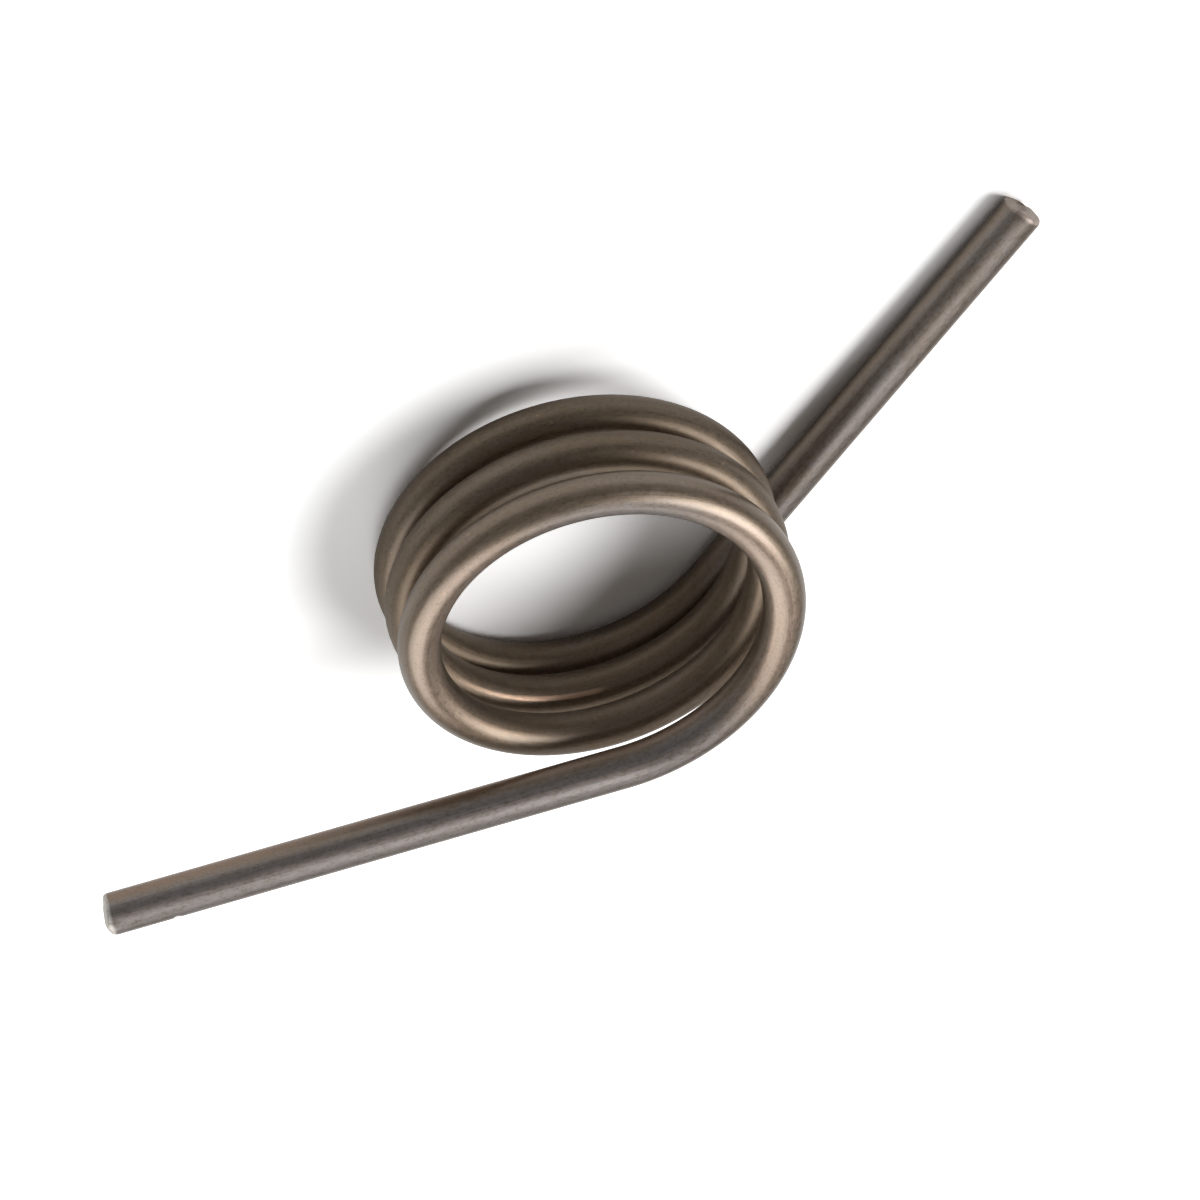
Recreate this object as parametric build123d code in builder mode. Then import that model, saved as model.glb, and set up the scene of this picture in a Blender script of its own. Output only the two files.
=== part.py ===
from build123d import *
from math import atan, cos, pi, sin
import os

os.makedirs("parts", exist_ok=True)

# A torsion spring bent from one round wire, in millimetres.
# The coil axis is +Z and z = 0 is the level of the lower leg's underside at its tip.

# wire
wire_dia = 3.0
end_break = 0.25                # edge broken round each cut end

# coil, wound left-handed going up
coil_inner_dia = 22.4
turns = 3.134                   # from the lower leg's tangent point to the upper leg's
pitch_gain = 0.45               # how much the pitch opens with every further turn
points_per_turn = 36

# legs, measured from their tangent points on the coil
lower_leg = 36.8
upper_leg = 37.2

# sizes that follow from the ones above
wire_radius = wire_dia / 2
coil_radius = coil_inner_dia / 2 + wire_radius
pitch_start = wire_dia          # close wound where it begins, opening from there
start_slope = atan(pitch_start / (2 * pi * coil_radius))
start_height = wire_radius * cos(start_slope) + lower_leg * sin(start_slope)


def coil_point(turn):
    """Point on the wire's axis after this many turns up from the lower leg."""
    angle = -2 * pi * turn
    height = start_height + pitch_start * turn + pitch_gain * turn**2 / 2
    return Vector(coil_radius * cos(angle), coil_radius * sin(angle), height)


def coil_direction(turn):
    """Unit vector along the wire, going up, after this many turns."""
    angle = -2 * pi * turn
    rise = (pitch_start + pitch_gain * turn) / (2 * pi)
    return Vector(coil_radius * sin(angle), -coil_radius * cos(angle), rise).normalized()


step_count = round(turns * points_per_turn)
axis_turns = [turns * step / step_count for step in range(step_count + 1)]
axis_points = [coil_point(turn) for turn in axis_turns]
axis_directions = [coil_direction(turn) for turn in axis_turns]
lower_tip = axis_points[0] - axis_directions[0] * lower_leg
upper_tip = axis_points[-1] + axis_directions[-1] * upper_leg

with BuildPart() as spring_wire:
    # the wire's axis: lower leg, opening coil, upper leg, each tangent to the next
    with BuildLine() as wire_axis:
        Line(lower_tip, axis_points[0])
        Spline(axis_points, tangents=axis_directions)
        Line(axis_points[-1], upper_tip)
    with BuildSketch(Plane(origin=lower_tip, z_dir=coil_direction(0))) as wire_section:
        Circle(wire_radius)
    sweep(path=wire_axis.wire())

    # the two square-cut ends, with their edges broken
    cut_ends = spring_wire.faces().filter_by(GeomType.PLANE)
    chamfer(cut_ends.edges(), length=end_break)

spring_wire.part.label = "spring_wire"
export_step(spring_wire.part, "parts/spring_wire.step")
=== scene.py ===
import bpy
import math
import numpy as np
from mathutils import Matrix, Vector


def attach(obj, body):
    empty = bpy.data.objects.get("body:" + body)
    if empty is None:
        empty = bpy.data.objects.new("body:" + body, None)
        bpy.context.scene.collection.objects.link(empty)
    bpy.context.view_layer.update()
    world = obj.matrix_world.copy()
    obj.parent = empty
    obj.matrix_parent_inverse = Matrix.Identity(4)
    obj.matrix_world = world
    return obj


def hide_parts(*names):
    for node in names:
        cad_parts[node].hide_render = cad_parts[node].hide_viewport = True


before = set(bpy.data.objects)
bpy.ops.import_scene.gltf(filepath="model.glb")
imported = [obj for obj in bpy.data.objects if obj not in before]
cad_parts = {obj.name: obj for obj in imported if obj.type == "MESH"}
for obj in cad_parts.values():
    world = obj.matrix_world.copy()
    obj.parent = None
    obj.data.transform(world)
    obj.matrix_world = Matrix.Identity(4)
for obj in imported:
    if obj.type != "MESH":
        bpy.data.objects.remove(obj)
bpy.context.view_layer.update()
print("frame loaded")


# small tools
class Signal:
    # wraps a shader socket, so ordinary arithmetic on it adds Math nodes
    def __init__(self, bench, socket):
        self.bench = bench
        self.socket = socket

    def join(self, operation, first, second):
        node = self.bench.add("ShaderNodeMath", {"operation": operation}, {0: first, 1: second})
        return Signal(self.bench, node.outputs[0])

    def __add__(self, other):
        return self.join("ADD", self, other)

    def __radd__(self, other):
        return self.join("ADD", other, self)

    def __sub__(self, other):
        return self.join("SUBTRACT", self, other)

    def __rsub__(self, other):
        return self.join("SUBTRACT", other, self)

    def __mul__(self, other):
        return self.join("MULTIPLY", self, other)

    def __rmul__(self, other):
        return self.join("MULTIPLY", other, self)


class Bench:
    # a node tree to build on, emptied first
    def __init__(self, owner):
        owner.use_nodes = True
        self.tree = owner.node_tree
        self.tree.nodes.clear()

    def add(self, kind, settings=None, sockets=None):
        node = self.tree.nodes.new(kind)
        for name, value in (settings or {}).items():
            setattr(node, name, value)
        for name, value in (sockets or {}).items():
            if isinstance(value, Signal):
                self.tree.links.new(value.socket, node.inputs[name])
            else:
                node.inputs[name].default_value = value
        return node

    def get(self, kind, output, settings=None, sockets=None):
        return Signal(self, self.add(kind, settings, sockets).outputs[output])

    def blend(self, factor, first, second):
        # colour mix: first where factor is 0, second where it is 1
        node = self.add("ShaderNodeMix", {"data_type": "RGBA"}, {0: factor, 6: first, 7: second})
        return Signal(self, node.outputs[2])

    def band(self, value, low, high, bottom=0.0, top=1.0):
        # value stretched from low..high to bottom..top and clamped there
        return self.get("ShaderNodeMapRange", 0, {"interpolation_type": "SMOOTHSTEP"},
                        {0: value, 1: low, 2: high, 3: bottom, 4: top})


# the wire
springWire = {
    "radius": 0.0015,
    "coilRadius": 0.0127,
    "turns": 3.134,
    "pitchStart": 0.0030,
    "pitchGain": 0.00045,       # more rise per turn with every turn
    "lowerLeg": 0.0368,
    "upperLeg": 0.0372,
    "edgeBreak": 0.00014,
    "nick": {"fromTip": 0.0043, "turn": 2.2, "length": 0.00016, "width": 0.28, "depth": 0.00013},
    "around": 72,               # mesh columns round the wire
    "coilRows": 640,
    "legRows": 260,
    "faceRings": 12,            # mesh rings across each cut face
    "breakRings": 4,            # and over each broken edge
    "cutRoom": 0.00050,         # bare length kept for the cut faces' relief, past the broken edge
}


def wireLine(spec):
    # The wire's axis. Lower leg: a straight run into the coil. Coil: an opening left-hand helix, radius R at
    # angle minus 2 pi t, height h + p t + g t^2 / 2 after t turns. Upper leg: straight on from the coil's end.
    # Returns points, unit directions and the distance along the wire, one row each.
    slope = math.atan(spec["pitchStart"] / (2 * math.pi * spec["coilRadius"]))
    startHeight = spec["radius"] * math.cos(slope) + spec["lowerLeg"] * math.sin(slope)
    t = np.linspace(0, spec["turns"], spec["coilRows"])
    angle = -2 * np.pi * t
    height = startHeight + spec["pitchStart"] * t + spec["pitchGain"] * t**2 / 2
    rise = (spec["pitchStart"] + spec["pitchGain"] * t) / (2 * np.pi)
    coil = np.column_stack((spec["coilRadius"] * np.cos(angle), spec["coilRadius"] * np.sin(angle), height))
    run = np.column_stack((spec["coilRadius"] * np.sin(angle), -spec["coilRadius"] * np.cos(angle), rise))
    run /= np.linalg.norm(run, axis=1)[:, None]
    back = np.linspace(spec["lowerLeg"], 0, spec["legRows"], endpoint=False)[:, None]
    out = np.linspace(0, spec["upperLeg"], spec["legRows"] + 1)[1:, None]
    points = np.concatenate((coil[0] - back * run[0], coil, coil[-1] + out * run[-1]))
    runs = np.concatenate((np.repeat(run[:1], len(back), 0), run, np.repeat(run[-1:], len(out), 0)))
    along = np.concatenate(([0.0], np.cumsum(np.linalg.norm(np.diff(points, axis=0), axis=1))))
    return points, runs, along


def cutRelief(x, y, end):
    # How far the cut face stands out along the wire at x, y in wire radii (y is up, x across). Shears leave a
    # face that is not flat or quite square: a smooth part, a step down to a torn part, and a rolled side.
    across = x * math.cos(end["stepTurn"]) + y * math.sin(end["stepTurn"])
    along = y * math.cos(end["stepTurn"]) - x * math.sin(end["stepTurn"])
    torn = 0.5 * (1 + np.tanh((across - end["stepAt"] + 0.12 * np.sin(4 * along + 1)) / 0.09))
    ripple = 0.12 * np.sin(9 * across + 3 * along) * torn
    rolled = x * math.cos(end["rollTurn"]) + y * math.sin(end["rollTurn"])
    roll = np.clip((rolled - end["rollFrom"]) / (1 - end["rollFrom"]), 0, 1) ** 1.5
    tilt = x * math.cos(end["tiltTurn"]) + y * math.sin(end["tiltTurn"])
    return end["reach"] + end["tilt"] * tilt - end["step"] * (torn + ripple) - end["roll"] * roll


cutEnds = {
    # how far the face stands out, its lean, its step down and its rolled side; depths in metres, turns in radians
    "lower": {"reach": 0.00025, "tilt": 0.00026, "tiltTurn": 0.86, "step": 0.00026, "stepTurn": -0.78, "stepAt": 0.02,
              "roll": 0.00012, "rollTurn": 2.36, "rollFrom": 0.75},
    "upper": {"reach": 0.00046, "tilt": 0.00020, "tiltTurn": 2.34, "step": 0.00005, "stepTurn": -0.80, "stepAt": 0.30,
              "roll": 0.00042, "rollTurn": 2.34, "rollFrom": 0.42},
}


def wireMesh(spec, ends):
    # A circle carried along the wire's axis: axis + radius (cos a * side + sin a * up), where side is level and
    # up completes the frame. Rings close to a pole on each cut face.
    points, runs, along = fullLine, fullRuns, fullAlong = wireLine(spec)
    up = np.array([0.0, 0.0, 1.0]) - runs * runs[:, 2:]
    up /= np.linalg.norm(up, axis=1)[:, None]
    side = np.cross(runs, up)
    deepest = spec["edgeBreak"] + spec["cutRoom"]
    keep = (along > deepest) & (along < along[-1] - deepest)
    points, runs, along, up, side = points[keep], runs[keep], along[keep], up[keep], side[keep]
    a = np.linspace(0, 2 * np.pi, spec["around"], endpoint=False)
    ring = np.column_stack((np.cos(a), np.sin(a)))
    # a small nick: the radius dips as a bell curve along the wire and round it
    nick = spec["nick"]
    nearNick = (along - (fullAlong[-1] - nick["fromTip"])) / nick["length"]
    dip = np.exp(-nearNick[:, None] ** 2) * np.exp(-((a[None] - nick["turn"]) / nick["width"]) ** 2)
    radii = (spec["radius"] - nick["depth"] * dip)[..., None]
    tube = points[:, None] + radii * (ring[None, :, :1] * side[:, None] + ring[None, :, 1:] * up[:, None])

    def endRings(tip, outward, sideWay, upWay, end):
        # from the rim of the wire inwards over the broken edge, then across the cut face to near its middle
        rim = spec["edgeBreak"] / spec["radius"]
        bend = np.linspace(0, np.pi / 2, spec["breakRings"] + 1)[:-1]
        inwards = np.linspace(1, 0, spec["faceRings"] + 1)[:-1]
        radii = np.concatenate((1 - rim * (1 - np.cos(bend)), (1 - rim) * inwards))
        back = np.concatenate((spec["edgeBreak"] * (1 - np.sin(bend)), np.zeros(spec["faceRings"])))
        x = radii[:, None] * ring[None, :, 0]
        y = radii[:, None] * ring[None, :, 1]
        lift = cutRelief(x, y, end) * (1 - back / spec["edgeBreak"])[:, None] - back[:, None]
        rows = tip + lift[..., None] * outward + spec["radius"] * (x[..., None] * sideWay + y[..., None] * upWay)
        pole = tip + cutRelief(0.0, 0.0, end) * outward
        return rows, pole, radii

    lowRows, lowPole, lowRadii = endRings(fullLine[0], -fullRuns[0], side[0], up[0], ends["lower"])
    topRows, topPole, topRadii = endRings(fullLine[-1], fullRuns[-1], side[-1], up[-1], ends["upper"])
    rings = np.concatenate((lowRows[::-1], tube, topRows))
    count, n = len(rings), spec["around"]
    verts = np.concatenate((lowPole[None], rings.reshape(-1, 3), topPole[None]))

    i = np.arange(count - 1)[:, None] * n + 1
    j = np.arange(n)[None]
    k = (j + 1) % n
    quads = np.stack((i + j, i + n + j, i + n + k, i + k), -1).reshape(-1, 4)
    first = 1 + np.arange(n)
    last = 1 + (count - 1) * n + np.arange(n)
    lowFan = np.column_stack((np.zeros(n, int), first, np.roll(first, -1)))
    topFan = np.column_stack((np.full(n, len(verts) - 1), np.roll(last, -1), last))

    # where each point lies on the straightened wire: along it, and its place in the wire's section
    length = fullAlong[-1]
    stations = np.concatenate((np.zeros(len(lowRows)), along, np.full(len(topRows), length)))
    sections = np.concatenate((lowRadii[::-1], np.ones(len(along)), topRadii))
    place = np.empty((count, n, 3))
    place[..., 0] = stations[:, None]
    place[..., 1] = spec["radius"] * sections[:, None] * ring[None, :, 0]
    place[..., 2] = spec["radius"] * sections[:, None] * ring[None, :, 1]
    place = np.concatenate(([[0, 0, 0]], place.reshape(-1, 3), [[length, 0, 0]]))
    # 1 on each cut face and the inner half of its broken edge, 0 elsewhere
    row = np.arange(count)
    lowCut = np.concatenate(([1.0], np.repeat(row < len(lowRows) - 2, n), [0.0]))
    topCut = np.concatenate(([0.0], np.repeat(row > count - len(topRows) + 1, n), [1.0]))

    mesh = bpy.data.meshes.new("springWire")
    mesh.from_pydata(verts.tolist(), [], quads.tolist() + lowFan.tolist() + topFan.tolist())
    mesh.update()
    mesh.polygons.foreach_set("use_smooth", np.ones(len(mesh.polygons), bool))
    for name, kind, values in (("wirePlace", "FLOAT_VECTOR", place), ("lowerCut", "FLOAT", lowCut),
                               ("upperCut", "FLOAT", topCut)):
        layer = mesh.attributes.new(name, kind, "POINT")
        layer.data.foreach_set("vector" if kind == "FLOAT_VECTOR" else "value", values.astype(np.float32).ravel())
    return mesh


wireObject = bpy.data.objects.new("springWire", wireMesh(springWire, cutEnds))
bpy.context.scene.collection.objects.link(wireObject)
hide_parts("spring_wire")
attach(wireObject, "root")
print("wire made:", len(wireObject.data.polygons), "faces")


# its finish
drawnSteel = {
    "bronze": (0.276, 0.207, 0.146, 1),     # oxide tint over most of the wire
    "greySteelAndSheen": (0.285, 0.257, 0.248, 1),       # greyer steel in random patches, and the painted highlight tone of the lit flanks
    "warmLightTint": (0.310, 0.200, 0.135, 1),      # painted light tint: a redder flank on the upper leg, standing in for warmer light
    "crownHighlight": (0.375, 0.276, 0.213, 1),       # painted highlight: warmer, brighter crown of the last turn
    "darkOxideAndShade": (0.160, 0.121, 0.081, 1),       # darker patches of oxide, and painted shade on the outer sides of the lower turns
    "rubSheen": (0.60, 0.40, 0.28, 1),        # lighter copper: the painted highlight along the rub streak, and the scuffs and specks
    "cutBright": (0.70, 0.67, 0.62, 1),     # the fresher sheared end
    "cutBrown": (0.52, 0.43, 0.37, 1),      # the other, tarnished end
    "metallic": 0.86,
    "roughness": 0.41,
    "coat": 0.70,                           # thin film of oil
    "coatRoughness": 0.25,
    "rubDegrees": 52,                       # where round the section the rub streak and its painted highlight lie
}

# where along the wire the finish changes, in metres from the lower tip: each pair is where a change begins and ends
finishZones = {
    "lowerLegEnds": (0.030, 0.040),
    "upperLegStarts": (0.272, 0.284),
    "sheenTurn": ((0.238, 0.246), (0.252, 0.262)),
    "lastTurn": ((0.216, 0.226), (0.272, 0.280)),
    "darkSideEnds": (0.215, 0.235),
    "polishStarts": (0.210, 0.226),
    "rub": ((0.1262, 0.1280), (0.1315, 0.1415)),
    "scuffs": ((0.100, 0.108), (0.205, 0.212)),
}


def drawnSteelMaterial(look, zones, spec):
    material = bpy.data.materials.new("drawnSteel")
    bench = Bench(material)
    place = bench.get("ShaderNodeAttribute", "Vector", {"attribute_name": "wirePlace"})
    split = bench.add("ShaderNodeSeparateXYZ", None, {0: place})
    along, across, height = [Signal(bench, socket) for socket in split.outputs]

    def noise(stretch, scale, detail=3.0, rough=0.55, shift=0.0):
        # noise on the straightened wire, in millimetres; stretch below 1 draws it out along the wire
        spot = bench.get("ShaderNodeMapping", 0, None,
                         {0: place, 1: (shift, shift * 0.7, shift * 1.3), 3: (1000 * stretch, 1000, 1000)})
        return bench.get("ShaderNodeTexNoise", 0, None,
                         {"Vector": spot, "Scale": scale, "Detail": detail, "Roughness": rough})

    def facing(degrees, start, full):
        # 1 on the flank of the wire that looks this way round its section, fading to 0 where the cosine is start
        turn = math.radians(degrees)
        cosine = across * (math.cos(turn) / spec["radius"]) + height * (math.sin(turn) / spec["radius"])
        return bench.band(cosine, start, full)

    def stretch(startZone, endZone, last=0.0):
        # 1 between two zones along the wire, easing from 0 over the first and down to last over the second
        return bench.band(along, *startZone) * bench.band(along, *endZone, 1.0, last)

    patches = noise(0.25, 0.45, 4.0, 0.6)                 # slow change of tint
    mottle = noise(0.6, 2.6, 4.0, 0.65, 7.0)              # blotches under a millimetre across
    drawLines = noise(0.012, 9.0, 3.0, 0.6, 3.0)          # lines left by the drawing die
    fineLines = noise(0.02, 26.0, 2.0, 0.5, 11.0)
    grain = noise(0.7, 4.6, 4.0, 0.75, 19.0)              # satin grain
    specks = bench.band(noise(0.8, 1.9, 1.0, 0.5, 31.0), 0.765, 0.80)

    # greyer metal in random patches; on the legs and the top turn, painted highlight: a lighter neutral grey on the
    # flank where the highlight falls
    lowerLeg = bench.band(along, *zones["lowerLegEnds"], 1.0, 0.0)
    upperLeg = bench.band(along, *zones["upperLegStarts"])
    topTurn = stretch(*zones["sheenTurn"])
    sheenFlank = facing(62, 0.45, 0.90)
    greyPatchesAndSheen = (bench.band(patches * 0.6 + mottle * 0.4, 0.44, 0.62) * 0.30 + lowerLeg * sheenFlank * 0.55
                + upperLeg * sheenFlank * 0.95 + topTurn * sheenFlank * 0.75)
    tint = bench.blend(greyPatchesAndSheen, look["bronze"], look["greySteelAndSheen"])
    # painted light tint: one flank of the upper leg is made redder brown, standing in for warmer light falling on it
    tint = bench.blend(upperLeg * facing(-35, 0.70, 0.97) * 0.9, tint, look["warmLightTint"])
    # painted highlight: the lit crown of the last turn is made warmer and brighter
    lastTurn = stretch(*zones["lastTurn"])
    tint = bench.blend(lastTurn * (1 - topTurn) * facing(75, 0.60, 0.95) * 0.8, tint, look["crownHighlight"])
    # painted shade: the outer side of the turns below the last is darkened; random patches and grain darken as oxide
    outerSide = facing(168, 0.50, 0.95) * bench.band(along, *zones["darkSideEnds"], 1.0, 0.0)
    oxideAndShade = (bench.band(patches * 0.35 + mottle * 0.25 + drawLines * 0.40, 0.60, 0.40) * 0.35
                + outerSide * 0.35)
    tint = bench.blend(oxideAndShade + bench.band(grain, 0.52, 0.36) * 0.42, tint, look["darkOxideAndShade"])

    # one rub streak inside the coil, ragged along its edges and drawn to a point at its ends: smoother where
    # polished, and coloured lighter copper, which paints the highlight seen along it
    rubEnds = stretch(*zones["rub"], 0.15)
    rubTurn = math.radians(look["rubDegrees"])
    fromRub = (height * (math.cos(rubTurn) / spec["radius"]) - across * (math.sin(rubTurn) / spec["radius"])
               + (drawLines - 0.5) * 0.10 + (mottle - 0.5) * 0.06)
    rubSheen = (bench.band(fromRub * fromRub + (1 - rubEnds) * 0.014, 0.0260, 0.0060)
              * facing(look["rubDegrees"], 0.80, 0.90) * rubEnds)
    scuffs = (bench.band(fineLines * 0.5 + drawLines * 0.5, 0.57, 0.66) * facing(60, 0.80, 0.95)
              * stretch(*zones["scuffs"]) * 0.35)
    # painted highlight of the rub streak, plus scuffs and specks, in lighter copper
    tint = bench.blend(rubSheen + scuffs + specks * 0.22, tint, look["rubSheen"])

    lowerCut = bench.get("ShaderNodeAttribute", "Fac", {"attribute_name": "lowerCut"})
    upperCut = bench.get("ShaderNodeAttribute", "Fac", {"attribute_name": "upperCut"})
    cutGrime = bench.band(mottle * 0.5 + grain * 0.5, 0.56, 0.42) * 0.45
    tint = bench.blend(lowerCut, tint, bench.blend(cutGrime, look["cutBrown"], look["darkOxideAndShade"]))
    tint = bench.blend(upperCut, tint, bench.blend(cutGrime, look["cutBright"], look["bronze"]))

    polished = lowerLeg + bench.band(along, *zones["polishStarts"])    # the turns below are duller
    roughness = (look["roughness"] + (1 - polished) * 0.07 + (mottle - 0.5) * 0.20 + (drawLines - 0.5) * 0.16
                 + (grain - 0.5) * 0.34 + (lowerCut + upperCut) * 0.10 - rubSheen * 0.12)
    metallic = look["metallic"] - (lowerCut + upperCut) * 0.45
    film = look["coat"] * (1 - lowerCut - upperCut) * (0.25 + polished * 0.75)
    relief = drawLines * 0.5 + fineLines * 0.30 + grain * 0.50 + mottle * 0.30
    bump = bench.get("ShaderNodeBump", 0, None, {"Strength": 0.55, "Distance": 0.00003, "Height": relief})
    surface = bench.add("ShaderNodeBsdfPrincipled", None,
                        {"Base Color": tint, "Metallic": metallic, "Roughness": roughness, "Normal": bump,
                         "Coat Weight": film, "Coat Roughness": look["coatRoughness"]})
    bench.add("ShaderNodeOutputMaterial", None, {"Surface": Signal(bench, surface.outputs[0])})
    return material


wireObject.data.materials.append(drawnSteelMaterial(drawnSteel, finishZones, springWire))
print("finish made")


# floor and light
stage = {
    "floorUp": (0.0466, 0.0311, 0.9984),    # the spring rests leaning a little on its lower leg
    "floorPoint": (0.0127, 0.0368, 0.0),
    "floorReach": 3,
    "floorColour": 0.70,
    "floorSeen": 1.48,                      # the floor's colour as the camera sees it, overexposed
    "ambient": 0.105,
    "glossyShare": 0.085,                   # how much of the white surroundings the metal shows
    "lamps": {
        # the way to the lamp, its strength, its width in degrees
        "key": {"from": (0.53, 0.27, 0.80), "strength": 2.25, "width": 38.0},
        "side": {"from": (0.09, -0.76, 0.64), "strength": 1.70, "width": 57.0},
    },
}


def whiteShare(bench, spec):
    # 1 where the camera looks straight or through glass, a small share where it looks by way of metal
    rays = bench.add("ShaderNodeLightPath")
    straight, glossy, through = [Signal(bench, rays.outputs[name]) for name in
                                 ("Is Camera Ray", "Is Glossy Ray", "Is Transmission Ray")]
    return straight + through + glossy * spec["glossyShare"]


def floorSheet(spec):
    up = Vector(spec["floorUp"]).normalized()
    flat = up.to_track_quat("Z", "Y").to_matrix()
    reach = spec["floorReach"]
    corners = [Vector(spec["floorPoint"]) + flat @ Vector((x * reach, y * reach, 0))
               for x, y in ((-1, -1), (1, -1), (1, 1), (-1, 1))]
    mesh = bpy.data.meshes.new("floor")
    mesh.from_pydata([tuple(c) for c in corners], [], [(0, 1, 2, 3)])
    mesh.update()
    floor = bpy.data.objects.new("floor", mesh)
    bpy.context.scene.collection.objects.link(floor)
    material = bpy.data.materials.new("palePaper")
    bench = Bench(material)
    brightness = spec["floorColour"] + whiteShare(bench, spec) * (spec["floorSeen"] - spec["floorColour"])
    plain = bench.add("ShaderNodeBsdfDiffuse", None, {"Color": brightness})
    bench.add("ShaderNodeOutputMaterial", None, {"Surface": Signal(bench, plain.outputs[0])})
    mesh.materials.append(material)


floorSheet(stage)

world = bpy.data.worlds.new("room")
bpy.context.scene.world = world
bench = Bench(world)
strength = stage["ambient"] + whiteShare(bench, stage) * (1 - stage["ambient"])
room = bench.add("ShaderNodeBackground", None, {"Color": (1, 1, 1, 1), "Strength": strength})
bench.add("ShaderNodeOutputWorld", None, {"Surface": Signal(bench, room.outputs[0])})

for name, spec in stage["lamps"].items():
    lamp = bpy.data.lights.new(name + "Lamp", "SUN")
    lamp.energy = spec["strength"]
    lamp.angle = math.radians(spec["width"])
    lampObject = bpy.data.objects.new(name + "Lamp", lamp)
    lampObject.rotation_euler = Vector(spec["from"]).to_track_quat("Z", "Y").to_euler()
    bpy.context.scene.collection.objects.link(lampObject)
print("stage made")


# camera
view = {
    "place": (-0.269894, 0.222970, 0.325730),
    "right": (0.770977, 0.587693, 0.245380),
    "down": (0.277535, -0.656825, 0.701110),
    "ahead": (0.573209, -0.472438, -0.669503),
    "lens": 204.842,
}
camera = bpy.data.cameras.new("camera")
camera.lens = view["lens"]
camera.sensor_width = 36.0
camera.clip_end = 20.0
camera.dof.use_dof = False
cameraObject = bpy.data.objects.new("camera", camera)
cameraTurn = Matrix((view["right"], [-v for v in view["down"]], [-v for v in view["ahead"]])).transposed()
cameraObject.matrix_world = Matrix.Translation(view["place"]) @ cameraTurn.to_4x4()
bpy.context.scene.collection.objects.link(cameraObject)
bpy.context.scene.camera = cameraObject
bpy.context.scene.view_settings.view_transform = "Standard"
